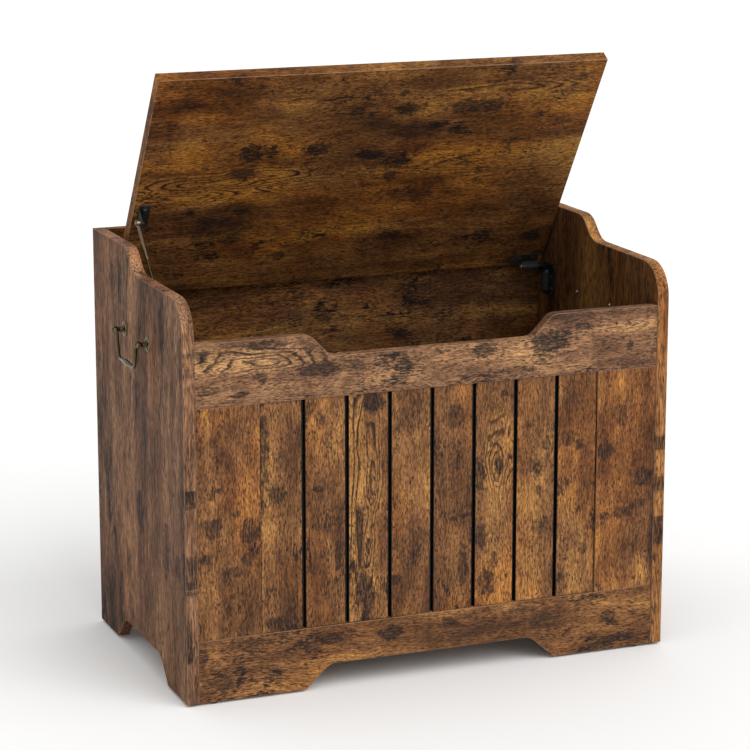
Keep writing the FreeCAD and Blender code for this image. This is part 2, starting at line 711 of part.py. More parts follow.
def make_handles():
    """Drop handle on each side panel: two posts and a bail that swings in them."""
    for name, side in SIDES.items():
        outer = side * WIDTH / 2
        height = BOTTOM + HANDLE_HEIGHT
        for place, along in (("front", -1), ("back", 1)):
            base = V(outer, along * POST_HALF_SPACING, height)
            nodes["handle_post_%s_%s" % (name, place)] = handle_post(base, side)
        nodes["handle_bail_" + name] = bail(outer + side * POST_REACH, height)


def handle_post(base, side):
    """Round rosette, waisted stem and ball end with a cross hole for the bail."""
    outward = V(side, 0, 0)
    stem = turned(STEM_TURNING, base, outward)
    ball_centre = base + outward * POST_REACH
    ball = Part.makeSphere(BALL_RADIUS, ball_centre)
    hole = rod(ball_centre - Y_AXIS * BALL_RADIUS, Y_AXIS, 2 * BALL_RADIUS, BAIL_RADIUS + RUNNING_GAP)
    post = stem.fuse(ball).removeSplitter().cut(hole)
    return cut_all(post, handle_screws(side))


def bail(pivot_x, height):
    """Bent rod hanging from the two posts, thicker where the fingers hold it."""
    tip = POST_HALF_SPACING + BALL_RADIUS + BAIL_END
    drop = height - BAIL_DROP
    path = [
        (V(pivot_x, -tip, height), 0),
        (V(pivot_x, -BAIL_TOP_HALF, height), BAIL_KNUCKLE_RADIUS),
        (V(pivot_x, -BAIL_FLOOR_HALF, drop), BAIL_BEND_RADIUS),
        (V(pivot_x, BAIL_FLOOR_HALF, drop), BAIL_BEND_RADIUS),
        (V(pivot_x, BAIL_TOP_HALF, height), BAIL_KNUCKLE_RADIUS),
        (V(pivot_x, tip, height), 0),
    ]
    wire = rounded_path(path, closed=False)
    section = Part.Wire(Part.makeCircle(BAIL_RADIUS, path[0][0], Y_AXIS))
    rod_solid = wire.makePipeShell([section], True, True)
    grip = turned(GRIP_TURNING, V(pivot_x, -GRIP_HALF, drop), Y_AXIS)
    return rod_solid.fuse(grip).removeSplitter()


make_case()
make_cleats()
make_glides()
make_lid()
make_hinges()
make_stay()
make_handles()

os.makedirs("parts", exist_ok=True)
for name, shape in nodes.items():
    shape.exportStep("parts/%s.step" % name)
    print("%-26s solids %d valid %s" % (name, len(shape.Solids), shape.isValid()))
print("nodes", len(nodes))
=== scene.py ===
import json
import math

import bmesh
import bpy
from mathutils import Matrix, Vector


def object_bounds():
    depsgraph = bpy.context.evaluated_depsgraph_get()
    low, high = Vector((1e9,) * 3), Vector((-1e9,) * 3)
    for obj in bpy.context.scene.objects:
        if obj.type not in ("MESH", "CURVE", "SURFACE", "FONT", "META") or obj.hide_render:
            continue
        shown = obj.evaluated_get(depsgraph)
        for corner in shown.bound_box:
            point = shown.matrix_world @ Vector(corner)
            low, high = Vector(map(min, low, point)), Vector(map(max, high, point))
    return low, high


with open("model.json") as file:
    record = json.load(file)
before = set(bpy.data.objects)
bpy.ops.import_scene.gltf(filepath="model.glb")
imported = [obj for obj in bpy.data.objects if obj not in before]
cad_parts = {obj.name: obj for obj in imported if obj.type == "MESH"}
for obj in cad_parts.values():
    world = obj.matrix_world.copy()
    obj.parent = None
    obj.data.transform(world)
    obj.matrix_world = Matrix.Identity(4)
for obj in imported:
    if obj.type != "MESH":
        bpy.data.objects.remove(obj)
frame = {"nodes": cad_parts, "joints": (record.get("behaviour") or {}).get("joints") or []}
CAD_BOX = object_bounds()
NODES = frame["nodes"]

# ---------------------------------------------------------------------------
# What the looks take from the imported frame: lengths in metres, angles in radians
# ---------------------------------------------------------------------------

LID_HINGE = next(j for j in frame["joints"] if j["name"] == "lid_hinge")
LID_OPEN = math.radians(abs(LID_HINGE["range_deg"][0]))
HINGE_AXIS = Vector(LID_HINGE["pos_m"])

RIGHT = Vector((1.0, 0.0, 0.0))
BACK = Vector((0.0, 1.0, 0.0))
UP = Vector((0.0, 0.0, 1.0))
UP_THE_LID = Vector((0.0, -math.cos(LID_OPEN), math.sin(LID_OPEN)))


# ---------------------------------------------------------------------------
# Short calls for building shader nodes
# ---------------------------------------------------------------------------

MIX_COLOURS = (6, 7)    # the two colour inputs of a Mix node
MIX_RESULT = 2          # its colour output
RAMP_MIDDLE = 0.5       # where a new stop starts out, before it is moved to its place
NOISE_MIDDLE = 0.5


class Graph:
    """A node tree with one short call for each kind of node used here."""

    def __init__(self, tree):
        self.tree = tree

    def feed(self, socket, value):
        """Link a socket to another one, or set its value."""
        if isinstance(value, bpy.types.NodeSocket):
            self.tree.links.new(value, socket)
        else:
            socket.default_value = value

    def add(self, kind, inputs=None, **settings):
        node = self.tree.nodes.new(kind)
        for name, value in settings.items():
            setattr(node, name, value)
        for name, value in (inputs or {}).items():
            self.feed(node.inputs[name], value)
        return node

    def math(self, operation, a, b=0.0, c=0.0):
        return self.add("ShaderNodeMath", {0: a, 1: b, 2: c}, operation=operation).outputs[0]

    def vector(self, operation, a, b):
        return self.add("ShaderNodeVectorMath", {0: a, 1: b}, operation=operation).outputs[0]

    def dot(self, a, b):
        return self.add("ShaderNodeVectorMath", {0: a, 1: b},
                        operation="DOT_PRODUCT").outputs["Value"]

    def join(self, x, y, z=0.0):
        return self.add("ShaderNodeCombineXYZ", {0: x, 1: y, 2: z}).outputs[0]

    def object_point(self):
        """The place on the part, in metres of the frame at rest."""
        return self.add("ShaderNodeTexCoord").outputs["Object"]

    def noise(self, vector, scale, detail=2.0, roughness=0.5, distortion=0.0):
        """Noise from 0 to 1, with about scale lumps in a metre."""
        return self.add("ShaderNodeTexNoise", {
            "Vector": vector, "Scale": scale, "Detail": detail,
            "Roughness": roughness, "Distortion": distortion}).outputs["Fac"]

    def centred_noise(self, vector, **settings):
        """Noise from -0.5 to 0.5."""
        return self.math("SUBTRACT", self.noise(vector, **settings), NOISE_MIDDLE)

    def span(self, value, low, high, to_low=0.0, to_high=1.0, smooth=True):
        """value from low..high to to_low..to_high, held at the ends."""
        kind = "SMOOTHSTEP" if smooth else "LINEAR"
        return self.add("ShaderNodeMapRange", {
            "Value": value, "From Min": low, "From Max": high,
            "To Min": to_low, "To Max": to_high}, interpolation_type=kind).outputs[0]

    def blend(self, a, b, part):
        """The weighted sum of two values, part of it a and the rest b."""
        return self.math("ADD", self.math("MULTIPLY", a, part),
                         self.math("MULTIPLY", b, 1.0 - part))

    def mix(self, amount, a, b, blend="MIX"):
        """Two colours, each a socket or (r, g, b), mixed by amount."""
        node = self.add("ShaderNodeMix", {0: amount}, data_type="RGBA", blend_type=blend)
        for number, colour in zip(MIX_COLOURS, (a, b)):
            if isinstance(colour, tuple):
                colour = (*colour, 1.0)
            self.feed(node.inputs[number], colour)
        return node.outputs[MIX_RESULT]

    def ramp(self, value, stops):
        """A colour ramp through (position, (r, g, b)) stops."""
        node = self.add("ShaderNodeValToRGB", {0: value})
        elements = node.color_ramp.elements
        while len(elements) < len(stops):
            elements.new(RAMP_MIDDLE)
        for element, (position, colour) in zip(elements, stops):
            element.position = position
            element.color = (*colour, 1.0)
        return node.outputs["Color"]


def new_material(name):
    """An empty material, its graph and its principled shader."""
    material = bpy.data.materials.new(name)
    material.use_nodes = True
    material.node_tree.nodes.clear()
    graph = Graph(material.node_tree)
    shader = graph.add("ShaderNodeBsdfPrincipled")
    graph.add("ShaderNodeOutputMaterial", {"Surface": shader.outputs["BSDF"]})
    return material, graph, shader


def set_bump(graph, shader, height, distance, strength):
    bump = graph.add("ShaderNodeBump", {
        "Height": height, "Distance": distance, "Strength": strength})
    graph.feed(shader.inputs["Normal"], bump.outputs["Normal"])


def names(*starts):
    """The CAD nodes whose names begin with one of these."""
    return [name for name in NODES if name.startswith(starts)]


def put_on(material, nodes):
    for name in nodes:
        for slot in NODES[name].material_slots:
            slot.material = material


# ---------------------------------------------------------------------------
# Rustic printed wood: its colours and layers
# ---------------------------------------------------------------------------

UMBER = (0.040, 0.019, 0.011)
BROWN = (0.108, 0.044, 0.018)
TAN = (0.205, 0.090, 0.033)
GOLD = (0.360, 0.172, 0.050)
LINE = (0.030, 0.014, 0.009)
ORANGE_TINT = (1.12, 0.96, 0.74)
STAIN = (0.011, 0.009, 0.009)
# the paler colour of the eased edges is a painted highlight
EDGE_HIGHLIGHT = (0.260, 0.150, 0.092)
GROOVE = (0.004, 0.004, 0.004)
TONES = ((0.37, UMBER), (0.45, BROWN), (0.53, TAN), (0.62, GOLD))

# Scale along the grain against scale across it: the smaller, the longer the shapes
BROAD = 0.52
FLECK = 0.24
EYE = 0.22
FLAME = 0.16
THREAD = 0.05

# The noises of the print, in lumps to the metre
WANDER = {"Scale": 9.0, "Detail": 2.0}
WANDER_REACH = 0.022
FIBRES = dict(scale=480.0, detail=2.0, roughness=0.6)
SPECKLES = dict(scale=520.0, detail=1.5, roughness=0.8)
STREAKS = dict(scale=19.0, detail=5.0, roughness=0.62, distortion=0.4)
CLOUDS = dict(scale=14.0, detail=6.0, roughness=0.62, distortion=0.3)
ORANGE_PATCHES = dict(scale=6.5, detail=3.0)
GROWTH = dict(scale=17.0, detail=1.5, roughness=0.45, distortion=0.25)
GROWTH_PATCHES = dict(scale=9.0)
PORES = dict(scale=640.0, detail=0.0)
PORE_PATCHES = dict(scale=55.0)
STAINS = dict(scale=34.0, detail=5.0, roughness=0.62, distortion=0.3)
STAIN_PATCHES = dict(scale=8.0, detail=1.0)
MARK_RIMS = dict(scale=75.0, detail=4.0, roughness=0.68)
EYE_BENDS = dict(scale=32.0)
EDGE_HIGHLIGHT_BREAKS = dict(scale=60.0, detail=3.0, roughness=0.6)

# Where each layer starts and ends on its noise, then what it goes from and to if not 0 and 1
ORANGE_SPAN = (0.46, 0.60, 0.0, 0.9)
RING_RISE = (0.0, 0.12)
RING_FALL = (0.56, 0.20)
RING_BREAKS = (0.32, 0.56, 0.45, 1.0)
GROWTH_SPAN = (0.70, 0.42)
GRAIN_LIFT = (0.38, 0.62, 0.42, 1.62)
PORE_SPAN = (0.60, 0.70)
PORE_PATCH_SPAN = (0.36, 0.56)
STAIN_SPAN = (0.54, 0.68)
STAIN_PATCH_SPAN = (0.42, 0.56)
STAIN_BREAKS = (0.42, 0.62, 1.0, 0.62)
PRINT_ROUGHNESS = (0.3, 0.7, 0.66, 0.52)
MARK_SPAN = (1.20, 0.74)
EYE_SHOWN = (1.30, 0.75)
EDGE_HIGHLIGHT_SPAN = (0.34, 0.56, 0.35, 0.9)

FIBRE_PART = 0.35           # of the fine grain, the rest being speckle
STREAK_PART = 0.5           # of the broad tones, the rest being cloud
WARMTH_STEP = 0.07          # how far a board's warmth shifts its tones
RINGS = 16.0                # growth lines over the whole range of their noise
FIGURE_GOLD = 0.30          # how golden the wood is between growth lines
RING_DEPTH = 0.90
PORE_DEPTH = 0.85
STAIN_STEP = 0.10           # how far a board's stains shift their noise
STAIN_IN_GRAIN = 0.40       # how much the dark grain draws the stains in
STAIN_DEPTH = 0.96
RING_HOLLOW = 0.5           # how deep growth lines lie in the bump, against the fine grain
PORE_HOLLOW = 0.6           # and how deep pores lie

MARK_RAGGED = 2.4           # how ragged the rims of the marks are
EYE_BEND = 1.3              # how far the eyes are bent, in their own half widths
SECOND_BEND = (5.1, 2.3, 0.0)
EYE_FIGURE = 1.15           # how strongly growth lines show in an eye
EYE_WARMTH = 0.75           # and how much warmer the wood is there

SEED_STEP = (0.731, 1.377, 2.113)

# How squarely a surface faces out of the board, from 0 on a side wall to 1 on the face
WALL_TURN = (0.30, 0.15)    # where the eased edge ends and the side wall starts
EASED_FROM = (0.30, 0.45)   # the eased edge, as seen from the wall
EASED_TO = (0.93, 0.82)     # and from the face
GROOVE_WALL = (0.30, 0.75)  # how squarely a plank's painted wall faces the next plank

PRINT_BUMP = 0.0004
PRINT_BUMP_STRENGTH = 0.55

PRINT_INPUTS = {
    "Board": "Vector", "Seed": "Vector", "Swell": "Float", "Mark": "Float", "Figure": "Float",
    "Warmth": "Float", "Stains": "Float", "Saturation": "Float", "Shade": "Float"}
PRINT_OUTPUTS = {"Colour": "Color", "Roughness": "Float", "Height": "Float"}


def drawn(g, place, ratio):
    """A board's point with its shapes drawn out along the grain."""
    return g.vector("MULTIPLY", place, (1.0, 1.0, ratio))


def wandering(g, place):
    """A board's point, moved a little so that straight grain wanders."""
    noise = g.add("ShaderNodeTexNoise", {"Vector": place, **WANDER}).outputs["Color"]
    noise = g.vector("SUBTRACT", noise, (NOISE_MIDDLE,) * 3)
    noise = g.vector("MULTIPLY", noise, (WANDER_REACH, WANDER_REACH, 0.0))
    return g.vector("ADD", place, noise)


def broad_tones(g, place, warmth):
    """Tones from umber to gold in long streaks and clouds, with orange patches."""
    streaks = g.noise(drawn(g, place, FLAME), **STREAKS)
    clouds = g.noise(drawn(g, place, BROAD), **CLOUDS)
    tone = g.blend(streaks, clouds, STREAK_PART)
    tone = g.math("ADD", tone, g.math("MULTIPLY", warmth, WARMTH_STEP))
    orange = g.span(g.noise(drawn(g, place, BROAD), **ORANGE_PATCHES), *ORANGE_SPAN)
    return g.mix(orange, g.ramp(tone, TONES), ORANGE_TINT, "MULTIPLY")


def growth_lines(g, place, fibre, swell, figure):
    """Growth lines, as contours of a slow noise, and how much of their figure shows."""
    field = g.math("MULTIPLY", g.noise(drawn(g, place, FLAME), **GROWTH), RINGS)
    ring = g.math("FRACT", g.math("ADD", field, swell))
    ring = g.math("MULTIPLY", g.span(ring, *RING_RISE), g.span(ring, *RING_FALL))
    ring = g.math("MULTIPLY", ring, g.span(fibre, *RING_BREAKS))
    patches = g.span(g.noise(drawn(g, place, BROAD), **GROWTH_PATCHES), *GROWTH_SPAN)
    shown = g.math("MULTIPLY", patches, figure)
    return g.math("MULTIPLY", ring, shown), shown


def pore_dots(g, place):
    """Short dark pores, in patches."""
    pore = g.span(g.noise(drawn(g, place, FLECK), **PORES), *PORE_SPAN)
    patches = g.span(g.noise(drawn(g, place, BROAD), **PORE_PATCHES), *PORE_PATCH_SPAN)
    return g.math("MULTIPLY", pore, patches)


def dark_stains(g, place, grain, stains, mark):
    """Soft dark stains in patches, and a board's own marks, broken up by the grain."""
    stain = g.noise(drawn(g, place, BROAD), **STAINS)
    stain = g.math("ADD", stain, g.math("MULTIPLY", stains, STAIN_STEP))
    in_grain = g.math("MULTIPLY", g.math("SUBTRACT", NOISE_MIDDLE, grain), STAIN_IN_GRAIN)
    stain = g.span(g.math("ADD", stain, in_grain), *STAIN_SPAN)
    patches = g.span(g.noise(drawn(g, place, BROAD), **STAIN_PATCHES), *STAIN_PATCH_SPAN)
    stain = g.math("MAXIMUM", g.math("MULTIPLY", stain, patches), mark)
    return g.math("MULTIPLY", stain, g.span(grain, *STAIN_BREAKS))


def make_print_group():
    """The printed wood: tones, growth lines, fibres, pores and dark stains.

    Board is metres on the board: across the grain, through it and along it.
    """
    tree = bpy.data.node_groups.new("rustic_print", "ShaderNodeTree")
    for name, kind in PRINT_INPUTS.items():
        tree.interface.new_socket(name, in_out="INPUT", socket_type=f"NodeSocket{kind}")
    for name, kind in PRINT_OUTPUTS.items():
        tree.interface.new_socket(name, in_out="OUTPUT", socket_type=f"NodeSocket{kind}")
    g = Graph(tree)
    given = g.add("NodeGroupInput").outputs
    place = wandering(g, g.vector("ADD", given["Board"], given["Seed"]))

    fibre = g.noise(drawn(g, place, THREAD), **FIBRES)
    speckle = g.noise(drawn(g, place, FLECK), **SPECKLES)
    grain = g.blend(fibre, speckle, FIBRE_PART)
    ring, figure = growth_lines(g, place, fibre, given["Swell"], given["Figure"])
    pore = pore_dots(g, place)
    stain = dark_stains(g, place, grain, given["Stains"], given["Mark"])

    colour = broad_tones(g, place, given["Warmth"])
    colour = g.mix(g.math("MULTIPLY", figure, FIGURE_GOLD), colour, GOLD)
    colour = g.mix(g.math("MULTIPLY", ring, RING_DEPTH), colour, LINE)
    lift = g.span(grain, *GRAIN_LIFT, smooth=False)
    colour = g.mix(1.0, colour, g.join(lift, lift, lift), "MULTIPLY")
    colour = g.mix(g.math("MULTIPLY", pore, PORE_DEPTH), colour, LINE)
    colour = g.mix(g.math("MULTIPLY", stain, STAIN_DEPTH), colour, STAIN)
    # Shade scales the brightness of the whole board: its own tone, and painted shade on the
    # boards that lie in shade
    colour = g.add("ShaderNodeHueSaturation", {
        "Color": colour, "Saturation": given["Saturation"], "Value": given["Shade"]}).outputs[0]

    height = g.math("SUBTRACT", grain, g.math("MULTIPLY", ring, RING_HOLLOW))
    height = g.math("SUBTRACT", height, g.math("MULTIPLY", pore, PORE_HOLLOW))
    g.add("NodeGroupOutput", {
        "Colour": colour, "Roughness": g.span(grain, *PRINT_ROUGHNESS), "Height": height})
    return tree


PRINT = make_print_group()


def away_from(g, u, v, at_u, at_v, half_u, half_v):
    """How far a point is from the middle of an ellipse, 1 at its rim."""
    du = g.math("MULTIPLY", g.math("SUBTRACT", u, at_u), 1.0 / half_u)
    dv = g.math("MULTIPLY", g.math("SUBTRACT", v, at_v), 1.0 / half_v)
    return g.math("SQRT", g.math("ADD", g.math("MULTIPLY", du, du), g.math("MULTIPLY", dv, dv)))


def marks_on(g, u, v, marks):
    """The dark marks of a face, with ragged rims."""
    ragged = g.math("MULTIPLY", g.centred_noise(g.join(u, v), **MARK_RIMS), MARK_RAGGED)
    dark = None
    for *ellipse, strength in marks:
        away = g.math("ADD", away_from(g, u, v, *ellipse), ragged)
        spot = g.span(away, *MARK_SPAN, 0.0, strength)
        dark = spot if dark is None else g.math("MAXIMUM", dark, spot)
    return dark


def eyes_on(g, u, v, board, eyes):
    """How the growth lines swell round each eye of a face, and where that figure shows."""
    place = drawn(g, board, EYE)
    bent_u = g.centred_noise(place, **EYE_BENDS)
    bent_v = g.centred_noise(g.vector("ADD", place, SECOND_BEND), **EYE_BENDS)
    swell = None
    shown = None
    for at_u, at_v, half_u, half_v, lines in eyes:
        moved_u = g.math("MULTIPLY_ADD", bent_u, EYE_BEND * half_u, u)
        moved_v = g.math("MULTIPLY_ADD", bent_v, EYE_BEND * half_v, v)
        away = away_from(g, moved_u, moved_v, at_u, at_v, half_u, half_v)
        bend = g.span(away, 0.0, 1.0, lines, 0.0, smooth=False)
        near = g.span(away, *EYE_SHOWN)
        swell = bend if swell is None else g.math("ADD", swell, bend)
        shown = near if shown is None else g.math("MAXIMUM", shown, near)
    return swell, shown


def wood(name, nodes, seed, u, v, out, grain, marks=(), eyes=(), figure=0.4, warmth=0.0,
         stains=0.0, saturation=1.0, shade=1.0, stretch=1.0, gloss=0.14, painted_wall_light=1.1,
         black_walls=False, origin=Vector((0.0, 0.0, 0.0))):
    """Printed wood on boards whose face runs along u and v, with the grain along one of them.

    painted_wall_light is how much paler the print is painted on the side walls of the board:
    painted light on edges that face the lamps. shade scales the whole board: its own tone, and
    painted shade on the lid, back, bottom and sides.
    """
    material, g, shader = new_material(name)
    spot = g.add("ShaderNodeTexCoord")
    point = g.vector("SUBTRACT", spot.outputs["Object"], origin)
    along_u = g.dot(point, u)
    along_v = g.dot(point, v)
    across, along = (along_v, along_u) if grain == "u" else (along_u, along_v)
    board = g.join(across, g.dot(point, out), g.math("MULTIPLY", along, 1.0 / stretch))
    facing = g.math("ABSOLUTE", g.dot(spot.outputs["Normal"], out))
    inputs = {
        "Board": board, "Seed": tuple(step * seed for step in SEED_STEP),
        "Figure": figure, "Warmth": warmth, "Stains": stains, "Saturation": saturation,
        # the side walls are painted paler than the faces: painted light on edges that face the
        # lamps
        "Shade": g.span(facing, *WALL_TURN, shade, shade * painted_wall_light)}
    if marks:
        inputs["Mark"] = marks_on(g, along_u, along_v, marks)
    if eyes:
        inputs["Swell"], shown = eyes_on(g, along_u, along_v, board, eyes)
        inputs["Figure"] = g.math("MAXIMUM", g.math("MULTIPLY", shown, EYE_FIGURE), figure)
        inputs["Warmth"] = g.math("ADD", g.math("MULTIPLY", shown, EYE_WARMTH), warmth)
    pattern = g.add("ShaderNodeGroup", node_tree=PRINT)
    for key, value in inputs.items():
        g.feed(pattern.inputs[key], value)

    # The eased edges are painted paler than the faces: a painted highlight where they catch the
    # light, broken up by noise
    eased = g.math("MULTIPLY", g.span(facing, *EASED_FROM), g.span(facing, *EASED_TO))
    edge_highlight = g.math("MULTIPLY", eased, g.span(g.noise(point, **EDGE_HIGHLIGHT_BREAKS), *EDGE_HIGHLIGHT_SPAN))
    colour = g.mix(edge_highlight, pattern.outputs["Colour"], EDGE_HIGHLIGHT)
    if black_walls:
        sideways = g.math("ABSOLUTE", g.dot(spot.outputs["Normal"], u))
        colour = g.mix(g.span(sideways, *GROOVE_WALL), colour, GROOVE)
    g.feed(shader.inputs["Base Color"], colour)
    g.feed(shader.inputs["Roughness"], pattern.outputs["Roughness"])
    shader.inputs["Specular IOR Level"].default_value = gloss
    set_bump(g, shader, pattern.outputs["Height"], PRINT_BUMP, PRINT_BUMP_STRENGTH)
    put_on(material, nodes)


# ---------------------------------------------------------------------------
# The printed boards
# Marks: along u, along v, half width, half height in metres, and how dark
# Eyes: along u, along v, half width, half height in metres, and how many growth lines
# ---------------------------------------------------------------------------

FRONT = dict(u=RIGHT, v=UP, out=BACK)
SIDE = dict(u=BACK, v=UP, out=RIGHT)
FLAT = dict(u=RIGHT, v=BACK, out=UP)
LID = dict(u=RIGHT, v=UP_THE_LID, out=RIGHT.cross(UP_THE_LID), origin=HINGE_AXIS)

LID_MARKS = (
    (-0.180, 0.270, 0.034, 0.017, 1.00),
    (-0.085, 0.270, 0.022, 0.014, 0.95),
    (-0.035, 0.342, 0.012, 0.009, 0.90),
    (0.050, 0.342, 0.024, 0.012, 0.90),
    (0.033, 0.372, 0.008, 0.007, 0.80),
    (0.162, 0.340, 0.052, 0.014, 0.85),
    (0.005, 0.253, 0.030, 0.010, 0.95),
    (0.048, 0.240, 0.026, 0.017, 1.00),
    (0.046, 0.210, 0.013, 0.011, 0.85),
    (-0.192, 0.230, 0.022, 0.011, 0.80),
    (-0.265, 0.158, 0.008, 0.007, 0.80),
    (-0.182, 0.155, 0.014, 0.007, 0.80),
    (-0.210, 0.125, 0.052, 0.022, 0.65),
    (-0.192, 0.098, 0.017, 0.010, 0.85),
    (-0.108, 0.058, 0.012, 0.010, 0.75),
    (0.075, 0.086, 0.016, 0.009, 0.80),
    (0.085, 0.170, 0.044, 0.014, 0.60),
    (0.265, 0.315, 0.010, 0.007, 0.80),
    (0.320, 0.060, 0.022, 0.012, 0.85),
    (-0.320, 0.330, 0.010, 0.008, 0.60),
)
LID_EYES = (
    (-0.235, 0.212, 0.170, 0.030, 5.0),
    (-0.325, 0.200, 0.022, 0.010, 3.0),
    (0.205, 0.225, 0.190, 0.024, 4.0),
    (0.290, 0.238, 0.060, 0.010, 2.0),
    (0.230, 0.375, 0.110, 0.012, 2.0),
)
TOP_RAIL_MARKS = (
    (0.186, 0.490, 0.036, 0.017, 1.00),
    (0.080, 0.486, 0.020, 0.011, 0.85),
    (-0.255, 0.520, 0.036, 0.006, 0.85),
    (-0.120, 0.480, 0.013, 0.013, 0.60),
    (-0.045, 0.474, 0.010, 0.018, 0.55),
    (-0.350, 0.510, 0.010, 0.012, 0.70),
    (-0.295, 0.452, 0.012, 0.005, 0.90),
    (-0.175, 0.480, 0.036, 0.010, 0.80),
    (-0.265, 0.474, 0.011, 0.009, 0.75),
    (-0.345, 0.462, 0.014, 0.008, 0.60),
    (0.237, 0.508, 0.011, 0.007, 0.80),
    (0.318, 0.474, 0.006, 0.007, 0.80),
    (0.130, 0.450, 0.030, 0.007, 0.50),
)
TOP_RAIL_EYES = (
    (-0.290, 0.502, 0.150, 0.020, 4.0),
    (0.300, 0.508, 0.080, 0.014, 3.0),
)
BOTTOM_RAIL_MARKS = (
    (-0.160, 0.076, 0.024, 0.009, 0.85),
    (-0.065, 0.074, 0.018, 0.012, 0.90),
    (-0.190, 0.066, 0.014, 0.008, 0.60),
    (0.028, 0.078, 0.012, 0.009, 0.80),
    (-0.360, 0.072, 0.012, 0.014, 0.80),
    (-0.290, 0.084, 0.040, 0.008, 0.70),
    (-0.330, 0.030, 0.024, 0.010, 0.55),
    (0.290, 0.052, 0.016, 0.011, 0.70),
    (0.150, 0.084, 0.022, 0.006, 0.60),
)
STILE_LEFT_MARKS = (
    (-0.338, 0.262, 0.018, 0.013, 0.85),
    (-0.282, 0.250, 0.014, 0.022, 0.85),
    (-0.286, 0.212, 0.012, 0.010, 0.70),
    (-0.304, 0.280, 0.007, 0.005, 0.60),
    (-0.350, 0.216, 0.010, 0.009, 0.75),
    (-0.308, 0.194, 0.015, 0.009, 0.65),
    (-0.328, 0.316, 0.005, 0.004, 0.90),
    (-0.310, 0.400, 0.020, 0.014, 0.40),
)
STILE_RIGHT_MARKS = (
    (0.344, 0.268, 0.014, 0.014, 0.90),
    (0.281, 0.316, 0.013, 0.014, 0.80),
    (0.306, 0.366, 0.010, 0.016, 0.65),
    (0.310, 0.216, 0.020, 0.009, 0.70),
    (0.279, 0.214, 0.010, 0.007, 0.80),
    (0.336, 0.228, 0.014, 0.007, 0.65),
)
SIDE_LEFT_MARKS = (
    (-0.005, 0.235, 0.016, 0.034, 0.80),
    (0.012, 0.395, 0.012, 0.050, 0.65),
    (0.090, 0.385, 0.012, 0.030, 0.55),
    (-0.126, 0.210, 0.015, 0.040, 0.75),
    (-0.180, 0.195, 0.014, 0.022, 0.75),
    (0.115, 0.570, 0.015, 0.025, 0.60),
    (-0.126, 0.545, 0.010, 0.045, 0.65),
    (-0.205, 0.510, 0.010, 0.040, 0.65),
    (0.150, 0.270, 0.012, 0.030, 0.60),
    (0.175, 0.070, 0.015, 0.040, 0.65),
    (-0.214, 0.308, 0.010, 0.014, 0.90),
    (-0.214, 0.196, 0.010, 0.030, 0.90),
    (0.060, 0.140, 0.014, 0.022, 0.60),
    (-0.060, 0.300, 0.010, 0.040, 0.50),
)
SIDE_RIGHT_MARKS = (
    (-0.214, 0.318, 0.012, 0.011, 0.90),
    (-0.214, 0.254, 0.012, 0.014, 0.90),
    (-0.214, 0.182, 0.012, 0.024, 0.95),
    (-0.060, 0.420, 0.014, 0.030, 0.80),
    (0.080, 0.300, 0.018, 0.034, 0.80),
    (0.010, 0.170, 0.012, 0.044, 0.70),
    (0.150, 0.450, 0.012, 0.030, 0.70),
)
PLANKS = (
    # warmth, marks, eyes
    (0.0, ((-0.262, 0.360, 0.010, 0.080, 0.85), (-0.241, 0.300, 0.014, 0.013, 0.85),
           (-0.242, 0.108, 0.018, 0.010, 0.70), (-0.232, 0.350, 0.012, 0.016, 0.45)), ()),
    (0.0, ((-0.190, 0.424, 0.012, 0.012, 0.80), (-0.174, 0.405, 0.009, 0.013, 0.65),
           (-0.177, 0.302, 0.008, 0.006, 0.85), (-0.165, 0.245, 0.010, 0.009, 0.65),
           (-0.146, 0.200, 0.006, 0.024, 0.80), (-0.186, 0.196, 0.009, 0.022, 0.55)), ()),
    (0.5, ((-0.092, 0.424, 0.017, 0.017, 0.95), (-0.103, 0.138, 0.013, 0.036, 0.85)),
          ((-0.092, 0.320, 0.017, 0.100, 4.0), (-0.096, 0.205, 0.012, 0.070, 3.0),
           (-0.118, 0.300, 0.012, 0.220, 2.0))),
    (0.1, ((-0.056, 0.154, 0.008, 0.009, 0.90), (-0.060, 0.208, 0.007, 0.009, 0.50),
           (-0.034, 0.405, 0.018, 0.040, 0.35)), ()),
    (-0.3, ((0.050, 0.162, 0.007, 0.032, 0.80), (0.036, 0.390, 0.019, 0.016, 0.60),
            (0.014, 0.296, 0.009, 0.032, 0.55)), ()),
    (0.4, ((0.076, 0.298, 0.010, 0.028, 0.90), (0.107, 0.309, 0.008, 0.013, 0.90),
           (0.077, 0.202, 0.010, 0.020, 0.85), (0.100, 0.165, 0.007, 0.013, 0.80),
           (0.087, 0.130, 0.014, 0.022, 0.90), (0.115, 0.417, 0.006, 0.006, 0.85)),
          ((0.103, 0.310, 0.022, 0.125, 5.0), (0.100, 0.160, 0.021, 0.120, 5.0))),
    (0.1, ((0.170, 0.296, 0.008, 0.011, 0.90), (0.172, 0.263, 0.005, 0.010, 0.70),
           (0.184, 0.335, 0.007, 0.013, 0.65), (0.176, 0.210, 0.015, 0.013, 0.60),
           (0.155, 0.365, 0.008, 0.006, 0.65)), ()),
    (0.1, ((0.219, 0.340, 0.015, 0.011, 0.70), (0.237, 0.328, 0.009, 0.009, 0.80),
           (0.204, 0.262, 0.007, 0.009, 0.85), (0.207, 0.126, 0.008, 0.008, 0.80),
           (0.246, 0.165, 0.008, 0.009, 0.70)), ()),
)

FIRST_PLANK_SEED = 11

# Painted shade: the lid is darkened all over for the shade on its underside, which faces down
wood("wood_lid", ["lid_panel"], 1, grain="u", marks=LID_MARKS, eyes=LID_EYES, figure=0.3,
     saturation=1.04, shade=0.78, gloss=0.06, **LID)
# Painted shade: the back panel is darkened for the shade inside the box
wood("wood_back", ["back_panel"], 2, grain="u", figure=0.3, shade=0.62, stains=0.4,
     gloss=0.06, **FRONT)
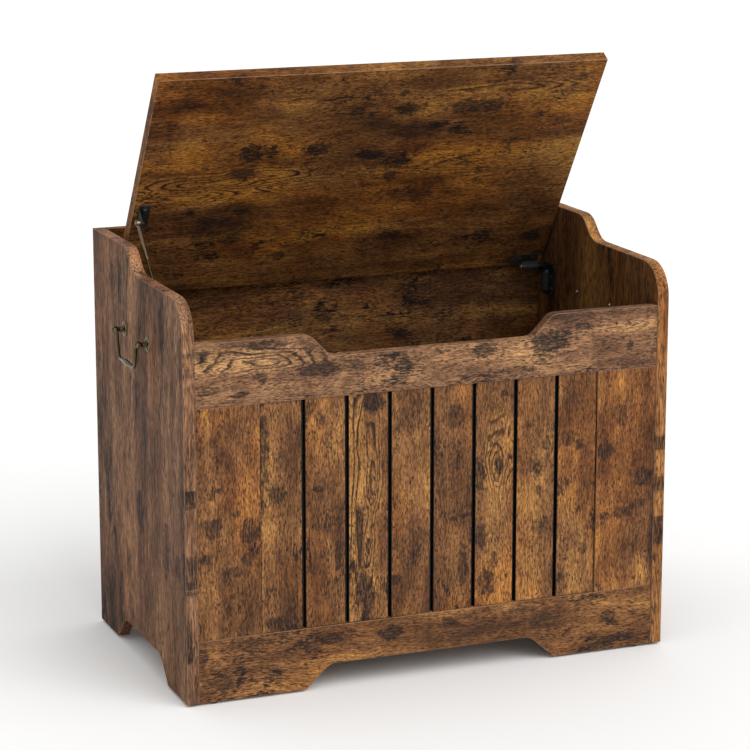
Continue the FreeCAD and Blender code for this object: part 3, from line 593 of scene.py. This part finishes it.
# Painted shade: the bottom panel is darkened for the shade inside the box
wood("wood_floor", ["bottom_panel"], 3, grain="u", shade=0.8, **FLAT)
# Painted shade and light: the left side is darkened for the shade on a side turned from the key
# light, its lowered saturation paints the grey cast of sheen, and its edges are painted paler
# where they face the light
wood("wood_side_left", ["side_panel_left"], 4, grain="v", marks=SIDE_LEFT_MARKS, figure=0.2,
     saturation=0.86, shade=0.86, stretch=2.0, gloss=0.05, painted_wall_light=1.7, **SIDE)
# Painted shade and light: the right side is darkened all over for the shade on its inner face,
# and its edges are painted paler again where they face the light
wood("wood_side_right", ["side_panel_right"], 5, grain="v", marks=SIDE_RIGHT_MARKS, figure=0.3,
     shade=0.68, stretch=2.0, gloss=0.05, painted_wall_light=2.0, **SIDE)
wood("wood_top_rail", ["front_top_rail"], 6, grain="u", marks=TOP_RAIL_MARKS,
     eyes=TOP_RAIL_EYES, warmth=0.1, saturation=0.9, shade=1.12, **FRONT)
wood("wood_bottom_rail", ["front_bottom_rail"], 7, grain="u", marks=BOTTOM_RAIL_MARKS, **FRONT)
wood("wood_stile_left", ["front_stile_left"], 8, grain="v", marks=STILE_LEFT_MARKS, figure=0.2,
     stains=-0.3, **FRONT)
wood("wood_stile_right", ["front_stile_right"], 9, grain="v", marks=STILE_RIGHT_MARKS,
     figure=0.2, stains=-0.3, warmth=0.1, **FRONT)
for number, (warmth, marks, eyes) in enumerate(PLANKS):
    wood(f"wood_plank_{number + 1}", [f"front_plank_{number + 1}"], FIRST_PLANK_SEED + number,
         grain="v", figure=0.25, warmth=warmth, marks=marks, eyes=eyes, black_walls=True, **FRONT)


# ---------------------------------------------------------------------------
# Plain wood, metal and plastic
# ---------------------------------------------------------------------------

BATTEN_PALE = (0.50, 0.34, 0.18)
BATTEN_DARK = (0.34, 0.21, 0.10)
DOWEL_PALE = (0.55, 0.38, 0.20)
DOWEL_DARK = (0.40, 0.25, 0.12)
PLAIN_DRAWN = 0.06          # scale along the grain against scale across it
PLAIN_LINES = dict(scale=380.0, detail=4.0, roughness=0.6, distortion=0.3)
PLAIN_PATCHES = dict(scale=26.0, detail=3.0)
LINE_PART = 0.7             # of the tone, the rest being patches
PLAIN_TONES = (0.36, 0.62)
PLAIN_ROUGHNESS = (0.3, 0.7, 0.72, 0.58)
PLAIN_BUMP = 0.0003
PLAIN_BUMP_STRENGTH = 0.5

MOTTLING = dict(scale=90.0, detail=4.0, roughness=0.6)
MOTTLE_SPAN = (0.35, 0.7)
MOTTLE_SHADE = 0.62
MOTTLE_ROUGHNESS = (0.3, 0.7, -0.07, 0.09)
GRIT = dict(detail=3.0, roughness=0.6)
GRIT_SPAN = (0.3, 0.7)
GRIT_ROUGHNESS = 0.05
HIGH_SPOTS = (0.505, 0.56)  # of the mesh's pointiness, which is 0.5 where it is flat
WEAR_SPAN = (0.3, 0.6, 0.3)
GRIT_BUMP = 0.00008
GRIT_BUMP_STRENGTH = 0.6


def plain_wood(name, nodes, pale, dark, squeeze):
    """Unprinted wood of the dowels and battens, squeezed along the axis of its grain."""
    material, g, shader = new_material(name)
    point = g.object_point()
    lines = g.noise(g.vector("MULTIPLY", point, squeeze), **PLAIN_LINES)
    tone = g.blend(lines, g.noise(point, **PLAIN_PATCHES), LINE_PART)
    g.feed(shader.inputs["Base Color"], g.ramp(tone, tuple(zip(PLAIN_TONES, (dark, pale)))))
    g.feed(shader.inputs["Roughness"], g.span(lines, *PLAIN_ROUGHNESS))
    set_bump(g, shader, lines, PLAIN_BUMP, PLAIN_BUMP_STRENGTH)
    put_on(material, nodes)


def hard_surface(name, nodes, base, worn, metallic, rough, grit, specular=0.5, wear=0.5):
    """Metal or plastic: two mottled tones, wear on the high spots and a fine surface."""
    material, g, shader = new_material(name)
    point = g.object_point()
    mottle = g.noise(point, **MOTTLING)
    fine = g.noise(point, grit, **GRIT)
    shaded = tuple(MOTTLE_SHADE * part for part in base)
    colour = g.mix(g.span(mottle, *MOTTLE_SPAN), base, shaded)
    high = g.span(g.add("ShaderNodeNewGeometry").outputs["Pointiness"], *HIGH_SPOTS)
    high = g.math("MULTIPLY", high, g.span(fine, *WEAR_SPAN, wear))
    g.feed(shader.inputs["Base Color"], g.mix(high, colour, worn))
    fine_rough = g.span(fine, *GRIT_SPAN, rough - GRIT_ROUGHNESS, rough + GRIT_ROUGHNESS)
    roughness = g.math("ADD", g.span(mottle, *MOTTLE_ROUGHNESS), fine_rough)
    g.feed(shader.inputs["Roughness"], roughness)
    shader.inputs["Metallic"].default_value = metallic
    shader.inputs["Specular IOR Level"].default_value = specular
    set_bump(g, shader, fine, GRIT_BUMP, GRIT_BUMP_STRENGTH)
    put_on(material, nodes)


ALONG_X = (PLAIN_DRAWN, 1.0, 1.0)
ALONG_Y = (1.0, PLAIN_DRAWN, 1.0)

plain_wood("wood_dowel", names("dowels", "front_frame_dowels"), DOWEL_PALE, DOWEL_DARK, ALONG_X)
plain_wood("wood_batten", ["bottom_cleat_front", "bottom_cleat_back"],
           BATTEN_PALE, BATTEN_DARK, ALONG_X)
plain_wood("wood_batten_side", ["bottom_cleat_left", "bottom_cleat_right"],
           BATTEN_PALE, BATTEN_DARK, ALONG_Y)

hard_surface("groove_black_board", ["front_backing_board"], base=(0.006, 0.006, 0.007),
             worn=(0.02, 0.02, 0.02), metallic=0.0, rough=0.6, grit=900.0)
hard_surface("black_enamel",
             names("hinge_leaf_left", "hinge_leaf_right", "stay_bracket", "stay_track"),
             base=(0.007, 0.007, 0.007), worn=(0.06, 0.055, 0.05), metallic=0.0, rough=0.5,
             grit=1400.0, specular=0.22)
hard_surface("black_moulding", names("hinge_housing_left", "hinge_housing_right", "foot_glide"),
             base=(0.006, 0.006, 0.007), worn=(0.03, 0.03, 0.03), metallic=0.0, rough=0.34,
             grit=2600.0, specular=0.35)
hard_surface("antique_bronze", names("handle_post", "handle_bail"),
             base=(0.082, 0.057, 0.030), worn=(0.46, 0.36, 0.22), metallic=1.0, rough=0.30,
             grit=1700.0, wear=0.8)
hard_surface("stay_bronze", names("stay_rod", "stay_rivet", "stay_slide_pin"),
             base=(0.105, 0.073, 0.040), worn=(0.42, 0.34, 0.22), metallic=1.0, rough=0.32,
             grit=2000.0, wear=0.6)
hard_surface("pin_steel", names("hinge_pin"), base=(0.34, 0.34, 0.35), worn=(0.7, 0.7, 0.7),
             metallic=1.0, rough=0.30, grit=2500.0)
hard_surface("screw_black", names("hinge_leaf_screws", "hinge_housing_screws",
                                  "stay_bracket_screws", "stay_track_screws"),
             base=(0.018, 0.018, 0.019), worn=(0.16, 0.16, 0.16), metallic=0.8, rough=0.38,
             grit=2200.0)
hard_surface("screw_zinc", names("bottom_cleat_screws", "handle_screws"),
             base=(0.42, 0.41, 0.38), worn=(0.75, 0.75, 0.72), metallic=1.0, rough=0.32,
             grit=2200.0)


# ---------------------------------------------------------------------------
# Floor, lights and camera
# ---------------------------------------------------------------------------

FLOOR_REACH = 40.0
FLOOR_SIDES = 96
FLOOR_GAP = 0.0002          # under the glides, so that no faces coincide
FLOOR_SHADE = (0.92, 0.92, 0.915)
FLOOR_DIMMED = 0.99
FLOOR_PATCHES = dict(scale=1.5)
FLOOR_PATCH_SPAN = (0.3, 0.7)
FLOOR_ROUGHNESS = 0.9
FLOOR_GLOSS = 0.1

SKY_STRENGTH = 0.88
WHITE = (1.0, 1.0, 1.0, 1.0)
KEY_TRAVEL = Vector((-0.45, 1.0, -1.0))
KEY_STRENGTH = 1.35
KEY_SPREAD = math.radians(50.0)

CAMERA_PLACE = Vector((-1.5241, -3.7561, 1.3560))
CAMERA_TURN = math.radians(22.03)
CAMERA_DOWN = math.radians(13.15)
CAMERA_LENS = 131.77        # mm


def make_floor():
    """A wide round floor, just under the glides."""
    mesh = bpy.data.meshes.new("studio_floor")
    shape = bmesh.new()
    bmesh.ops.create_circle(shape, cap_ends=True, segments=FLOOR_SIDES, radius=FLOOR_REACH)
    shape.to_mesh(mesh)
    shape.free()
    floor = bpy.data.objects.new("studio_floor", mesh)
    bpy.context.scene.collection.objects.link(floor)
    floor.location.z = CAD_BOX[0].z - FLOOR_GAP
    material, g, shader = new_material("studio_floor")
    patches = g.span(g.noise(g.object_point(), **FLOOR_PATCHES), *FLOOR_PATCH_SPAN)
    dimmed = tuple(FLOOR_DIMMED * part for part in FLOOR_SHADE)
    g.feed(shader.inputs["Base Color"], g.mix(patches, FLOOR_SHADE, dimmed))
    shader.inputs["Roughness"].default_value = FLOOR_ROUGHNESS
    shader.inputs["Specular IOR Level"].default_value = FLOOR_GLOSS
    mesh.materials.append(material)


def make_lights():
    """A white sky all round, and a wide soft sun from the front right."""
    world = bpy.data.worlds.new("studio")
    world.use_nodes = True
    sky = world.node_tree.nodes["Background"]
    sky.inputs["Color"].default_value = WHITE
    sky.inputs["Strength"].default_value = SKY_STRENGTH
    bpy.context.scene.world = world
    data = bpy.data.lights.new("key", "SUN")
    data.energy = KEY_STRENGTH
    data.angle = KEY_SPREAD
    key = bpy.data.objects.new("key", data)
    key.rotation_euler = KEY_TRAVEL.to_track_quat("-Z", "Y").to_euler()
    bpy.context.scene.collection.objects.link(key)


def make_camera():
    """The camera, turned to the box's front and left side, with a long lens."""
    data = bpy.data.cameras.new("camera")
    data.lens = CAMERA_LENS
    camera = bpy.data.objects.new("camera", data)
    camera.location = CAMERA_PLACE
    camera.rotation_euler = (math.pi / 2 - CAMERA_DOWN, 0.0, -CAMERA_TURN)
    bpy.context.scene.collection.objects.link(camera)
    bpy.context.scene.camera = camera


make_floor()
make_lights()
make_camera()
bpy.context.scene.view_settings.view_transform = "Standard"
